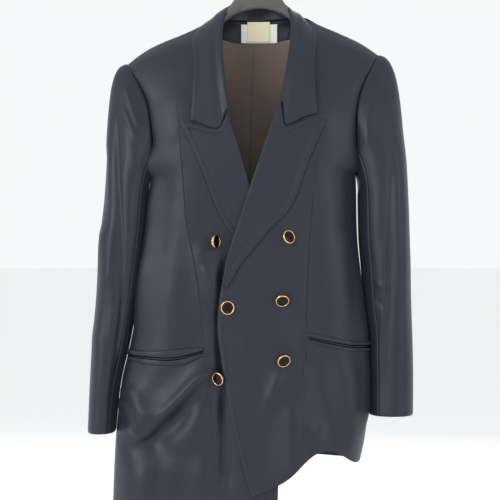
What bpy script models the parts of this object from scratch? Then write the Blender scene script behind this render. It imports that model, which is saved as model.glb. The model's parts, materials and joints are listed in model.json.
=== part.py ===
# A long double-breasted blazer hanging on a moulded hanger, one solid for each sewn piece.
# Lengths are millimetres up to the last step. +X is the viewer's right, -Y the front, +Z up.
# The origin is the inside top of the hook, where a rail carries the hanger.
# "Under" is the front on the viewer's left, which lies below the "over" front.
import math
from collections import namedtuple

import bmesh
import bpy
import numpy as np
from mathutils import Matrix, Vector
from mathutils.bvhtree import BVHTree

MM = 0.001

# Cloth
CLOTH = 1.6             # satin with its backing
LINING = 1.0
SEAM = 0.3              # between two sewn pieces
LAY = 0.5               # between a piece and the panel that it lies on
TURN = 78.0             # width over which the body's side rounds into its front or back
TURN_COLUMNS = 0.36     # share of a panel's columns in that round stretch
UNDERARM = 0.60         # share of a panel's rows below the underarm
SWELL = 0.9             # the slow swell of hanging cloth: its height and its reach across and down
SWELL_ACROSS = 55.0
SWELL_DOWN = 80.0

# Grids: rows up the piece, columns across it
FRONT_GRID = (29, 14)
BACK_COLUMNS = 11
BACK_ROWS = (13, 8, 4)  # up to the underarm, up to the neck facing, up to the neck
FACING_FROM = 0.945     # share of the back's rows where the neck facing begins
SLEEVE_ROWS = 19
TOP_SLEEVE_COLUMNS = 13
UNDER_SLEEVE_COLUMNS = 8

# Buttons
BUTTON_RADIUS = 11.8
BUTTON_THICK = 4.2
RIM = 2.0
BUTTON_SIDES = 20

# Hanger
HANGER_DEPTH = 12.0
HOOK_RADIUS = 20.0      # inside the hook
WIRE = 4.0
HUMP = -56.0            # top of the hanger's middle
HOOK_FOOT = -57.02      # where the hook stands on the rounded top

Finish = namedtuple("Finish", "colour roughness metallic")
SATIN = Finish((0.022, 0.030, 0.055), 0.42, 0.0)
TAUPE = Finish((0.085, 0.062, 0.050), 0.55, 0.0)
WHITE = Finish((0.75, 0.74, 0.70), 0.7, 0.0)
CREAM = Finish((0.72, 0.62, 0.42), 0.7, 0.0)
GOLD = Finish((0.80, 0.50, 0.22), 0.25, 1.0)
GREY_PLASTIC = Finish((0.12, 0.115, 0.11), 0.4, 0.0)
STEEL = Finish((0.62, 0.62, 0.63), 0.25, 1.0)

# Edges of the panels, each from the hem up. The row of the underarm comes by its height.
LEFT_SIDE = [(-257.5, 0, -973), (-253.2, 0, -869), (-242.6, 0, -755), (-225.0, 0, -676),
             (-204.0, 0, -553), (-194.3, 0, -483), (-187.3, 0, -398)]
RIGHT_SIDE = [(177.2, 0, -887), (184.3, 0, -852), (191.3, 0, -790), (190.4, 0, -676),
              (183.4, 0, -606), (178.0, 0, -553), (172.0, 0, -483), (170.2, 0, -393)]
LEFT_ARMHOLE_FRONT = [(-183.6, -40, -380), (-181.8, -52, -352), (-184.4, -54, -315),
                      (-192.8, -45, -265), (-212.0, -32, -224), (-225.0, -18, -201),
                      (-230.0, -4, -191.5)]
LEFT_ARMHOLE_BACK = [(-184.0, 28, -380), (-181.0, 40, -352), (-183.0, 44, -312),
                     (-192.0, 37, -263), (-211.0, 24, -223), (-225.0, 10, -201), (-230.0, -4, -191.5)]
RIGHT_ARMHOLE_FRONT = [(167.2, -40, -376), (165.8, -52, -346), (165.6, -54, -297),
                       (173.7, -45, -247), (190.5, -32, -209), (203.6, -18, -185),
                       (208.9, -4, -175.5)]
RIGHT_ARMHOLE_BACK = [(167.0, 28, -374), (164.5, 40, -344), (166.0, 44, -300),
                      (174.0, 37, -248), (190.0, 24, -208), (203.6, 10, -185), (208.9, -4, -175.5)]
UNDER_EDGE = [(30.7, -80, -963), (34.9, -80, -773), (36.6, -80, -671), (36.6, -80, -589),
              (17.9, -80, -526), (-2.4, -81, -459), (-20.1, -82, -398), (-37.5, -82, -338),
              (-54.0, -79, -280), (-68.0, -66, -219), (-74.0, -47, -165), (-75.0, -24, -128),
              (-72.0, -4, -109)]
OVER_EDGE = [(-13.5, -90, -936), (-41.4, -90, -831), (-61.4, -90, -724), (-70.5, -90, -640),
             (-66.0, -90, -592), (-54.2, -90, -531), (-31.6, -90, -460), (-10.4, -89, -393),
             (9.1, -88, -338), (24.7, -86, -293), (38.0, -82, -262), (52.0, -67, -215),
             (60.0, -50, -172), (66.0, -24, -126), (66.0, -4, -105)]
CENTRE_BACK = [(-14, 52, -950), (-15, 50, -800), (-15, 46, -650), (-16, 46, -500),
               (-16, 52, -396), (-14, 54, -300), (-11, 50, -200), (-6, 42, -135), (-4, 38, -110)]

CENTRE_UNDERARM = -396.0

# Shoulder seams and the back neck: x, y, z from the sleeve to the centre back
LEFT_SHOULDER = [(-230, -4, -191.5), (-204, -4, -171.5), (-164, -4, -151), (-132, -4, -138.5),
                 (-100, -4, -123), (-72, -4, -109)]
LEFT_NECK = [(-66, 14, -111), (-48, 28, -111.5), (-26, 36, -111), (-4, 38, -110)]
RIGHT_SHOULDER = [(208.9, -4, -175.5), (182.5, -4, -157.5), (154, -4, -143.5), (123, -4, -130),
                  (95, -4, -118), (66, -4, -105)]
RIGHT_NECK = [(60, 14, -108), (42, 28, -110), (18, 36, -110), (-4, 38, -110)]

# Hems: x, z
UNDER_HEM = [(-257.5, -973), (-232, -967), (-169, -963), (-67, -964), (30.7, -963)]
OVER_HEM = [(-13.5, -936), (22.6, -922), (40.8, -912), (58.9, -898), (77, -879), (103, -862),
            (123, -860), (138, -866), (153, -878), (177.2, -887)]
LEFT_BACK_HEM = [(-257.5, -973), (-200, -968), (-100, -966), (-14, -950)]
RIGHT_BACK_HEM = [(-14, -950), (30, -926), (60, -902), (100, -884), (177.2, -887)]

# Soft folds: a ridge (or, below nought, a trough) along a line on the cloth
Fold = namedtuple("Fold", "x_top z_top x_low z_low width rise")
UNDER_FOLDS = [
    Fold(-83, -716, -183, -814, 22, 11),
    Fold(-224, -748, -186, -816, 18, 6),
    Fold(-237, -779, -203, -838, 16, 5),
    Fold(-112, -775, -196, -880, 26, -7),
    Fold(-83, -748, -136, -860, 20, 6),
    Fold(-60, -680, -58, -965, 20, -6),
    Fold(-100, -500, -72, -600, 16, 4),
    Fold(-150, -420, -132, -640, 26, -3),
    Fold(-98, -870, -120, -990, 24, 6),
    Fold(-205, -880, -210, -990, 24, 5),
    Fold(-148, -240, -140, -330, 22, 3),
]
OVER_FOLDS = [
    Fold(36, -716, 8, -806, 15, 4),
    Fold(54, -765, 56, -925, 22, 5),
    Fold(90, -690, 134, -860, 24, -6),
    Fold(150, -700, 158, -900, 22, 4),
    Fold(118, -400, 112, -640, 26, -3),
    Fold(10, -780, 0, -930, 22, -4),
    Fold(112, -230, 100, -330, 22, 3),
]
BACK_FOLDS = [
    Fold(-150, -430, -170, -960, 34, 6),
    Fold(-85, -500, -95, -960, 30, -6),
    Fold(-50, -620, -45, -950, 26, 5),
    Fold(62, -480, 55, -900, 30, 6),
    Fold(118, -430, 122, -880, 32, -6),
    Fold(-120, -230, -100, -360, 26, 4),
    Fold(96, -220, 78, -350, 26, 4),
]
LEFT_SLEEVE_FOLDS = [
    Fold(-245, -240, -250, -810, 13, -4),
    Fold(-236, -255, -205, -390, 12, 4),
    Fold(-275, -480, -262, -590, 14, 4),
]
RIGHT_SLEEVE_FOLDS = [
    Fold(222, -470, 216, -800, 13, -4),
    Fold(238, -300, 246, -700, 14, 4),
]

# Sleeve sections from below the underarm to the cuff
Ring = namedtuple("Ring", "z x_out x_in y_front y_back")
LEFT_SLEEVE = [
    Ring(-432, -271.5, -191.0, -72, 46), Ring(-483, -274.8, -194.9, -73, 47),
    Ring(-553, -279.8, -203.8, -72, 45), Ring(-606, -284.0, -212.4, -71, 42),
    Ring(-676, -291.0, -224.8, -70, 38), Ring(-755, -295.6, -242.2, -70, 35),
    Ring(-833, -298.4, -249.8, -70, 32),
]
RIGHT_SLEEVE = [
    Ring(-428, 257.5, 171.8, -72, 46), Ring(-483, 260.2, 172.4, -73, 47),
    Ring(-553, 263.4, 177.8, -72, 45), Ring(-614, 265.0, 183.4, -71, 42),
    Ring(-676, 266.4, 190.2, -70, 38), Ring(-744, 267.2, 191.2, -70, 35),
    Ring(-803, 267.2, 190.8, -70, 32),
]
SLEEVE_SEAM_FRONT = 128.0   # degrees from the outer side of the sleeve, over the front
SLEEVE_SEAM_BACK = 232.0
SLEEVE_RADIUS = 42.0
SLEEVE_STEP = 0.8           # degrees to either side, for the direction round the sleeve

# Collar, from the left gorge round the back of the neck to the right gorge
Station = namedtuple("Station", "foot fold edge")
COLLAR = [
    Station((-54, -86.5, -279.5), (-54.0, -91, -278), (-116.6, -87, -296.0)),
    Station((-60, -80.5, -248), (-58.5, -86, -243), (-113.0, -84, -262.0)),
    Station((-68.5, -58, -195), (-63.5, -69, -190), (-111.5, -67, -210.0)),
    Station((-71, -34, -145), (-65.5, -44, -142), (-113.0, -38, -165.0)),
    Station((-70, -10, -113), (-62.0, -16, -100), (-119.0, -8, -136.0)),
    Station((-63.0, 4, -110), (-59.0, 4, -87), (-118.0, 22, -141.0)),
    Station((-51.5, 18, -111), (-49.0, 24, -80), (-88.0, 38, -141.0)),
    Station((-31, 30.5, -111), (-28.0, 35, -78), (-46.0, 46, -134.0)),
    Station((-4, 34.5, -110), (-4.0, 39, -78), (-4.0, 50, -131.0)),
    Station((23, 30.5, -110), (20.0, 35, -77), (38.0, 46, -131.0)),
    Station((47.5, 19, -109), (43.0, 24, -78), (78.0, 38, -136.0)),
    Station((59.0, 5, -106), (53.5, 4, -83), (106.0, 22, -131.0)),
    Station((63, -10, -109), (57.0, -16, -95), (105.0, -8, -127.0)),
    Station((62, -34, -140), (56.0, -45, -140), (96.0, -40, -160.0)),
    Station((54.5, -60, -190), (50.5, -70, -186), (93.0, -67, -205.0)),
    Station((44.5, -83, -233), (42.5, -88, -230), (94.0, -84, -250.0)),
    Station((37, -89.5, -266), (36.0, -94, -264), (98.5, -90, -285.0)),
]
COLLAR_ROWS = 31
FOLD_IN = 2.4           # the rounded fold's reach towards the neck, its reach out and its drop
FOLD_OUT = 3.6
FOLD_DROP = 3.4
FALL_COLUMNS = 4
COLLAR_FRONT_LEFT = [(-71, -309.5), (-94, -304.5)]      # x, z along the collar's front end
COLLAR_FRONT_RIGHT = [(46, -304), (72, -293)]

# Lapels: x, z of the roll, the outer edge from the tip down and the top edge from the gorge
UNDER_ROLL = [(-55, -287), (-37.5, -338), (-20.1, -398), (-2.4, -459), (17.9, -526), (31, -571)]
UNDER_LAPEL_EDGE = [(-135.5, -299), (-120.2, -329), (-95.8, -385), (-78.7, -430), (-66.1, -458),
                    (-43.4, -496), (8.0, -574)]
UNDER_LAPEL_TOP = [(-71.5, -313.5), (-110.5, -304)]
OVER_ROLL = [(36.2, -268), (24.7, -293), (9.1, -338), (-10.4, -397), (-31.6, -460),
             (-54.2, -531), (-64, -580)]
OVER_LAPEL_EDGE = [(113.0, -297), (83.4, -365), (53.1, -444), (11.9, -488), (-9.6, -515),
                   (-31.2, -541), (-55.0, -582)]
OVER_LAPEL_TOP = [(44.0, -310), (70.0, -300.5)]
LAPEL_GRID = (14, 6)

# Pocket jets: x, z of the upper and the lower edge
Strip = namedtuple("Strip", "x z_upper z_lower")
JETS = {
    "pocket_left_upper": [Strip(-222, -688.9, -697), Strip(-198, -691.0, -700.5),
                          Strip(-155, -688.7, -702), Strip(-126, -686, -698), Strip(-97, -683, -690)],
    "pocket_left_lower": [Strip(-214, -701, -706), Strip(-191, -703.8, -713.4),
                          Strip(-155, -705.5, -714.4), Strip(-134, -703, -713.5),
                          Strip(-98, -692.8, -698.5)],
    "pocket_right_upper": [Strip(70, -656, -663), Strip(98, -660.5, -669), Strip(133, -669, -676.5),
                           Strip(160, -674, -681.5), Strip(184, -677, -683)],
    "pocket_right_lower": [Strip(76, -666, -669), Strip(98, -671.5, -677.5),
                           Strip(133, -679.5, -686.5), Strip(160, -684.5, -691),
                           Strip(184, -686.5, -691)],
}
JET_THICK = 1.5

# Buttons: where each one hangs, how far it has turned on its shank and the panel that it is on
Button = namedtuple("Button", "x z turn nod panel")
BUTTONS = {
    "button_top_under": Button(-73.5, -503.5, 58, 0, "front_under"),
    "button_mid_over": Button(-53.9, -615.8, 0, 0, "front_over"),
    "button_low_under": Button(-70.5, -736.5, -38, 14, "front_under"),
    "button_top_right": Button(49.8, -496.0, 34, -14, "front_over"),
    "button_mid_right": Button(38.8, -604.0, 6, 36, "front_over"),
    "button_low_right": Button(41.4, -705.5, 22, 28, "front_over"),
}

# Labels: x from, x to, z from, z to
NECK_LABEL = (-31.5, 32.0, -149.0, -117.2)
SIZE_LABEL = (-20.5, 19.0, -147.0, -113.0)
LABEL_THICK = 0.8
LABEL_CURL = 0.4        # how far its right corners curl towards the front
FACING_TOP = -116.0     # below the facing's upper edge all round

# Hanger: x, top and bottom of the bar and its depth
Bar = namedtuple("Bar", "x top bottom depth")
HANGER = [
    Bar(-212, -186, -202, 12), Bar(-190, -170, -194, 16), Bar(-150, -152, -178, 18),
    Bar(-110, -135, -158, 16), Bar(-82, -122, -138, 14), Bar(-68, -117, -128, HANGER_DEPTH),
    Bar(-58, -99, -115, HANGER_DEPTH), Bar(-45, -77.5, -107, HANGER_DEPTH),
    Bar(-22, -61, -98.5, HANGER_DEPTH), Bar(0, HUMP, -95, HANGER_DEPTH),
    Bar(20, -60, -97.5, HANGER_DEPTH), Bar(41, -77, -105, HANGER_DEPTH),
    Bar(52, -94, -112, HANGER_DEPTH), Bar(61, -111, -122, HANGER_DEPTH),
    Bar(76, -118, -134, 14), Bar(102, -129, -153, 16), Bar(140, -144, -171, 18),
    Bar(174, -160, -184, 16), Bar(192, -171, -187, 12),
]
HANGER_PLACES = 29
HANGER_SIDES = 10
HANGER_CORNER = 2.2     # exponent of the bar's rounded section
HANGER_MIDDLE = -3.0    # its middle, in depth
SEAT_FROM = 66.0        # beyond here the bar is lowered until it clears the cloth
SEAT_STEP = 0.25


def monotone(keys, values, at):
    """A cubic through the values that doesn't overshoot between them."""
    keys = np.asarray(keys, float)
    values = np.asarray(values, float).reshape(len(keys), -1)
    at = np.asarray(at, float)
    steps = np.diff(keys)[:, None]
    slopes = np.diff(values, axis=0) / steps
    tangents = np.empty_like(values)
    tangents[0] = slopes[0]
    tangents[-1] = slopes[-1]
    both = slopes[:-1] * slopes[1:]
    total = slopes[:-1] + slopes[1:]
    safe = np.where(both > 0, total, 1.0)
    tangents[1:-1] = np.where(both > 0, 2 * both / safe, 0.0)
    index = np.clip(np.searchsorted(keys, at) - 1, 0, len(keys) - 2)
    share = ((at - keys[index]) / steps[index, 0])[..., None]
    before = values[index]
    after = values[index + 1]
    square = share * share
    cube = square * share
    return ((2 * cube - 3 * square + 1) * before + (3 * square - 2 * cube) * after
            + steps[index] * ((cube - 2 * square + share) * tangents[index]
                              + (cube - square) * tangents[index + 1]))


def along(points, shares):
    """Points at even shares of the length of a line through the given points."""
    points = np.asarray(points, float)
    lengths = np.r_[0, np.cumsum(np.linalg.norm(np.diff(points, axis=0), axis=1))]
    return monotone(lengths / lengths[-1], points, shares)


def by_x(points, x):
    """The other columns of a table at each x."""
    points = np.asarray(sorted(points), float)
    return monotone(points[:, 0], points[:, 1:], np.clip(x, points[0, 0], points[-1, 0]))


def smooth(low, high, value):
    share = np.clip((value - low) / (high - low), 0, 1)
    return share * share * (3 - 2 * share)


def edge_at(points, underarm_height, shares):
    """An edge from the hem up: by height below the underarm and by length above it."""
    points = np.asarray(points, float)
    heights = points[:, 2]
    lengths = np.r_[0, np.cumsum(np.linalg.norm(np.diff(points, axis=0), axis=1))]
    arm_length = np.interp(underarm_height, heights, lengths)
    keys = np.where(
        heights <= underarm_height,
        UNDERARM * (heights - heights[0]) / (underarm_height - heights[0]),
        UNDERARM + (1 - UNDERARM) * (lengths - arm_length) / (lengths[-1] - arm_length))
    return monotone(keys, points, shares)


def panel(side, armhole, inner, hem, top, shares, columns, is_back):
    """The outer face of a front or back panel, from the side to its inner edge."""
    underarm_height = side[-1][2]
    outer = edge_at(side + armhole, underarm_height, shares)[:, None, :]
    inner_height = CENTRE_UNDERARM if is_back else underarm_height
    inner = edge_at(inner, inner_height, shares)[:, None, :]
    across = np.linspace(0, 1, columns)[None, :]
    width = inner[..., 0] - outer[..., 0]
    turn = np.sign(width) * np.minimum(TURN, 0.55 * abs(width))
    angle = np.clip(across / TURN_COLUMNS, 0, 1) * math.pi / 2
    flat = np.clip((across - TURN_COLUMNS) / (1 - TURN_COLUMNS), 0, 1)
    distance = turn * (1 - np.cos(angle)) + (width - turn) * flat
    share = distance / width
    x = outer[..., 0] + distance
    y = outer[..., 1] + (inner[..., 1] - outer[..., 1]) * np.sin(angle)
    z = outer[..., 2] + (inner[..., 2] - outer[..., 2]) * share
    height = np.broadcast_to(shares[:, None], x.shape)
    z = z + (by_x(hem, x)[..., 0] - z[0]) * (1 - smooth(0, 0.22, height))
    top_line = by_x(top, x[-1])
    rising = smooth(0.72, 1, height)
    z = z + (top_line[..., 1] - z[-1]) * rising
    if is_back:
        late = np.clip((height - 0.76) / 0.24, 0, 1)
        y = y + (top_line[..., 0] - y[-1]) * (1 - np.sqrt(1 - late ** 2.2))
    return np.stack([x, y, z], axis=-1)


def normals_of(face, outward):
    """Unit normals of a grid of points; outward is 1 or -1, the sign of rows x columns."""
    along_rows = np.gradient(face, axis=0)
    along_columns = np.gradient(face, axis=1)
    normals = np.cross(along_columns, along_rows) * outward
    return normals / np.linalg.norm(normals, axis=-1, keepdims=True)


def lie_in_plane(normals, edge, axis):
    """Turn an edge's normals into the seam's plane, so that both sides of the seam agree."""
    along_edge = normals[edge]
    along_edge[..., axis] = 0
    normals[edge] = along_edge / np.linalg.norm(along_edge, axis=-1, keepdims=True)


def fold_height(points, folds):
    """How far the folds lift the cloth at each point of a front or back panel."""
    lift = np.zeros(points.shape[:-1])
    for fold in folds:
        start = np.array((fold.x_top, fold.z_top))
        line = np.array((fold.x_low, fold.z_low)) - start
        offset = points[..., [0, 2]] - start
        share = (offset @ line) / (line @ line)
        aside = (offset[..., 0] * line[1] - offset[..., 1] * line[0]) / np.linalg.norm(line)
        ends = smooth(-0.12, 0.25, share) * (1 - smooth(0.75, 1.12, share))
        lift += fold.rise * np.exp(-(aside / fold.width) ** 2) * ends
    return lift


def grid_triangles(rows, columns):
    """Two triangles for each square of a grid, all cut along the same diagonal."""
    number = np.arange(rows * columns).reshape(rows, columns)
    low, low_next = number[:-1, :-1].ravel(), number[:-1, 1:].ravel()
    high, high_next = number[1:, :-1].ravel(), number[1:, 1:].ravel()
    return np.concatenate([np.stack([low, low_next, high_next], axis=1),
                           np.stack([low, high_next, high], axis=1)])


def wall_mesh(name, face, normals, thickness):
    """A closed wall: the outer face's points and the same points moved in."""
    inner = face - normals * thickness
    rows, columns = face.shape[:2]
    count = rows * columns
    points = np.concatenate([face.reshape(-1, 3), inner.reshape(-1, 3)])
    number = np.arange(count).reshape(rows, columns)
    triangles = grid_triangles(rows, columns)
    faces = triangles.tolist() + (triangles[:, ::-1] + count).tolist()
    rim = np.concatenate([number[0, :-1], number[:-1, -1], number[-1, :0:-1], number[:0:-1, 0]])
    for start, end in zip(rim, np.roll(rim, -1)):
        faces.append([int(end), int(start), int(start) + count, int(end) + count])
    mesh = bpy.data.meshes.new(name)
    mesh.from_pydata((points * MM).tolist(), [], faces)
    return mesh


def turn_outward(mesh):
    model = bmesh.new()
    model.from_mesh(mesh)
    bmesh.ops.recalc_face_normals(model, faces=model.faces)
    if model.calc_volume(signed=True) < 0:
        bmesh.ops.reverse_faces(model, faces=model.faces)
    model.to_mesh(mesh)
    model.free()


def finish_material(name, finish):
    material = bpy.data.materials.new(name)
    material.use_nodes = True
    shader = material.node_tree.nodes["Principled BSDF"]
    shader.inputs["Base Color"].default_value = (*finish.colour, 1)
    shader.inputs["Roughness"].default_value = finish.roughness
    shader.inputs["Metallic"].default_value = finish.metallic
    material.diffuse_color = (*finish.colour, 1)
    return material


def add_object(name, mesh, finish):
    turn_outward(mesh)
    mesh.shade_smooth()
    mesh.set_sharp_from_angle(angle=math.radians(40))
    mesh.materials.append(finish_material(name, finish))
    piece = bpy.data.objects.new(name, mesh)
    bpy.context.scene.collection.objects.link(piece)
    return piece


def add_wall(name, face, normals, thickness, finish):
    return add_object(name, wall_mesh(name, face, normals, thickness), finish)


def surface_tree(face):
    """A tree of a grid's triangles, for what lies on it."""
    return BVHTree.FromPolygons(face.reshape(-1, 3).tolist(),
                                grid_triangles(*face.shape[:2]).tolist())


def front_place(tree, x, z):
    """The point of a front's outer face behind a place in the front view, and its normal."""
    place, normal, _, _ = tree.ray_cast(Vector((x, -400, z)), Vector((0, 1, 0)))
    if place is None:
        place, normal, _, _ = tree.find_nearest(Vector((x, -86, z)))
    return place, -normal if normal.y > 0 else normal


def lay_on(tree, flat, lift):
    """Grid of x, z laid on a front's outer face, moved out by lift."""
    face = np.empty((*flat.shape[:2], 3))
    lift = np.broadcast_to(lift, flat.shape[:2])
    for row, column in np.ndindex(*flat.shape[:2]):
        place, normal = front_place(tree, *flat[row, column])
        face[row, column] = place + normal * lift[row, column]
    return face


def push_out(trees, face, clearance, away):
    """Move points that lie closer to the panels than the clearance out to it."""
    for row, column in np.ndindex(*face.shape[:2]):
        for tree, outward in trees:
            point = Vector(face[row, column])
            near, normal, _, distance = tree.find_nearest(point)
            normal = normal * outward
            height = (point - near).dot(normal)
            if distance < 25 and height < clearance[row, column]:
                shift = normal * (clearance[row, column] - height)
                face[row, column] += np.array(shift) * away[row, column]
    return face


def build_body():
    """Fronts and backs; returns their outer faces for what lies on them."""
    outlines = {
        "front_under": (LEFT_SIDE, LEFT_ARMHOLE_FRONT, UNDER_EDGE, UNDER_HEM,
                        LEFT_SHOULDER, 1, UNDER_FOLDS),
        "front_over": (RIGHT_SIDE, RIGHT_ARMHOLE_FRONT, OVER_EDGE, OVER_HEM,
                       RIGHT_SHOULDER, -1, OVER_FOLDS),
        "back_left": (LEFT_SIDE, LEFT_ARMHOLE_BACK, CENTRE_BACK, LEFT_BACK_HEM,
                      LEFT_SHOULDER + LEFT_NECK, -1, BACK_FOLDS),
        "back_right": (RIGHT_SIDE, RIGHT_ARMHOLE_BACK, CENTRE_BACK, RIGHT_BACK_HEM,
                       RIGHT_SHOULDER + RIGHT_NECK, 1, BACK_FOLDS),
    }
    front_shares = np.linspace(0, 1, FRONT_GRID[0])
    below, chest, neck = BACK_ROWS
    back_shares = np.r_[np.linspace(0, UNDERARM, below), np.linspace(UNDERARM, FACING_FROM, chest)[1:],
                        np.linspace(FACING_FROM, 1, neck)[1:]]
    faces = {}
    for name, (side, armhole, inner, hem, top, outward, folds) in outlines.items():
        is_back = name.startswith("back")
        shares = back_shares if is_back else front_shares
        columns = BACK_COLUMNS if is_back else FRONT_GRID[1]
        face = panel(side, armhole, inner, hem, top, shares, columns, is_back)
        normals = normals_of(face, outward)
        quiet = smooth(0, 40, abs(face[..., 0] - face[:, :1, 0]))
        quiet = quiet * smooth(0, 45, top_distance(face))
        if is_back:
            quiet = quiet * smooth(0, 24, abs(face[..., 0] - face[:, -1:, 0]))
        swell = SWELL * np.sin(face[..., 0] / SWELL_ACROSS) * np.cos(face[..., 2] / SWELL_DOWN)
        face = face + normals * ((fold_height(face, folds) + swell) * quiet)[..., None]
        normals = normals_of(face, outward)
        below_arm = shares <= UNDERARM
        lie_in_plane(normals, (below_arm, 0), 1)
        seam = top_line_is_shoulder(face, side[0][0])
        lie_in_plane(normals, (-1, seam), 1)
        if is_back:
            lie_in_plane(normals, (slice(None), -1), 0)
        faces[name] = (face.copy(), normals, outward)
        shift = np.zeros_like(face)
        mid = SEAM / 2 * (1 if is_back else -1)
        shift[below_arm, 0, 1] += mid
        shift[-1, seam, 1] += mid
        if is_back:
            shift[:, -1, 0] += SEAM / 2 * (1 if side[0][0] > 0 else -1)
        add_wall(name, face + shift, normals, CLOTH, SATIN)
    return faces


def top_distance(face):
    """Height left to the top row, column by column."""
    return abs(face[-1:, :, 2] - face[..., 2])


def top_line_is_shoulder(face, side_x):
    """Which columns of the top row lie on the shoulder seam and not on the neck."""
    neck_x = RIGHT_SHOULDER[-1][0] if side_x > 0 else LEFT_SHOULDER[-1][0]
    return abs(face[-1, :, 0]) >= abs(neck_x) - 1


def armhole_loop(front, back, angles):
    """The armhole as a loop of points: 0 at the shoulder, 180 at the underarm."""
    points = []
    for angle in angles:
        share = 1 - abs((angle + 180) % 360 - 180) / 180
        edge = front if angle <= 180 else back
        points.append(along(edge, np.array([share]))[0])
    return np.array(points)


def sleeve_face(side, front, back, rings, angles, rows):
    """A sleeve from its seam at the armhole to the cuff, by angle round it."""
    out = np.sign(rings[0].x_out)
    underarm = side[-1]
    start = armhole_loop([underarm] + front, [underarm] + back, angles)
    turn = np.radians(angles)
    low = (1 - np.cos(turn)) / 2
    start[:, 0] += out * (SEAM + 0.3 + 0.6 * low)
    table = np.array(rings, float)
    cap_rows = 8
    heights = np.linspace(rings[0].z, rings[-1].z, rows - cap_rows + 1)
    sections = monotone(-table[:, 0], table[:, 1:], -heights)
    face = np.empty((rows, len(angles), 3))
    for index, (height, (x_out, x_in, y_front, y_back)) in enumerate(zip(heights, sections)):
        swell = np.sign(np.cos(turn)) * abs(np.cos(turn)) ** 0.85
        reach = np.sign(np.sin(turn)) * abs(np.sin(turn)) ** 0.92
        x = (x_out + x_in) / 2 + (x_out - x_in) / 2 * swell
        y = (y_front + y_back) / 2 - (y_back - y_front) / 2 * reach
        face[index + cap_rows - 1] = np.stack([x, y, np.full_like(x, height)], axis=-1)
    ring = face[cap_rows - 1]
    below = face[cap_rows]
    drop = start[:, 2] - ring[:, 2]
    leave = np.stack([out * (6 + 34 * (1 - low)), -14 * np.sin(turn), -2 - 0.30 * drop * low],
                     axis=-1)
    arrive = (ring - below) / np.linalg.norm(ring - below, axis=-1, keepdims=True)
    arrive = ring + arrive * (0.62 * drop * (1 - 0.5 * low))[:, None]
    for index in range(cap_rows):
        share = (index / (cap_rows - 1)) ** 1.15
        rest = 1 - share
        face[index] = (rest ** 3 * start + 3 * rest * rest * share * (start + leave)
                       + 3 * rest * share * share * arrive + share ** 3 * ring)
    return face


def build_sleeve(name, side, front, back, rings, folds):
    """One sleeve in two pieces, which share a seam along the front and one along the back."""
    outward = -1 if rings[0].x_out < 0 else 1
    seam_angle = math.degrees(SEAM / 2 / SLEEVE_RADIUS)
    spans = {
        "top_sleeve_" + name: (SLEEVE_SEAM_BACK - 360 + seam_angle,
                               SLEEVE_SEAM_FRONT - seam_angle, TOP_SLEEVE_COLUMNS),
        "under_sleeve_" + name: (SLEEVE_SEAM_FRONT + seam_angle,
                                 SLEEVE_SEAM_BACK - seam_angle, UNDER_SLEEVE_COLUMNS),
    }
    for piece, (first, last, columns) in spans.items():
        angles = np.linspace(first, last, columns)

        def at(offset):
            whole = sleeve_face(side, front, back, rings, (angles + offset) % 360, SLEEVE_ROWS)
            middle = whole.mean(axis=1, keepdims=True)
            facing = smooth(0, 20, middle[..., 1] - whole[..., 1])
            calm = smooth(1, 5, np.arange(SLEEVE_ROWS))[:, None]
            lift = fold_height(whole, folds) * facing * calm
            spread = whole - middle
            spread[..., 2] = 0
            spread /= np.linalg.norm(spread, axis=-1, keepdims=True)
            return whole + spread * lift[..., None]

        face = at(0)
        round_it = at(SLEEVE_STEP) - at(-SLEEVE_STEP)
        normals = np.cross(round_it, np.gradient(face, axis=0)) * outward
        normals /= np.linalg.norm(normals, axis=-1, keepdims=True)
        add_wall(piece, face, normals, CLOTH, SATIN)


def build_collar(faces):
    """One wall from the neck seam up to the fold and down over the shoulders and fronts."""
    lines = np.array(COLLAR, float)
    lengths = np.linalg.norm(np.diff(lines.mean(axis=1), axis=0), axis=1)
    keys = np.r_[0, np.cumsum(lengths)] / lengths.sum()
    shares = np.linspace(0, 1, COLLAR_ROWS)
    feet, folds, edges = (monotone(keys, lines[:, line], shares) for line in range(3))
    up = folds - feet
    leg = np.linalg.norm(up, axis=-1, keepdims=True)
    up /= leg
    drop = np.minimum(FOLD_DROP, 0.45 * leg)
    out = edges - folds
    out -= up * (out * up).sum(axis=-1, keepdims=True)
    out /= np.linalg.norm(out, axis=-1, keepdims=True)
    columns = 4 + FALL_COLUMNS
    face = np.empty((COLLAR_ROWS, columns, 3))
    face[:, 0] = feet
    face[:, 1] = (feet + folds - out * FOLD_IN - up * drop) / 2
    face[:, 2] = folds - out * FOLD_IN - up * drop
    face[:, 3] = folds
    for index in range(FALL_COLUMNS):
        start = folds + out * FOLD_OUT - up * drop
        face[:, 4 + index] = start + (edges - start) * index / (FALL_COLUMNS - 1)
    for row, front_end in ((0, COLLAR_FRONT_LEFT), (-1, COLLAR_FRONT_RIGHT)):
        corner_line = [(face[row, 4, 0], face[row, 4, 2])] + front_end
        corner_line.append((edges[row, 0], edges[row, 2]))
        flat = along(corner_line, np.linspace(0, 1, FALL_COLUMNS))
        steps = range(4) if row == 0 else range(-1, -5, -1)
        for order, target in enumerate(steps):
            weight = (1 - order / 4) ** 2
            shift = flat - face[row, 4:, [0, 2]].T if order == 0 else shift
            face[target, 4:, 0] += shift[:, 0] * weight
            face[target, 4:, 2] += shift[:, 1] * weight
    trees = [(surface_tree(outer), outward) for outer, _, outward in faces.values()]
    clearance = np.broadcast_to(CLOTH + LAY + 0.9, face.shape[:2])
    away = np.broadcast_to((np.arange(columns) >= 4).astype(float), face.shape[:2])
    face = push_out(trees, face, clearance, away)
    normals = normals_of(face, -1)
    add_wall("collar", face, normals, CLOTH, SATIN)


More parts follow.
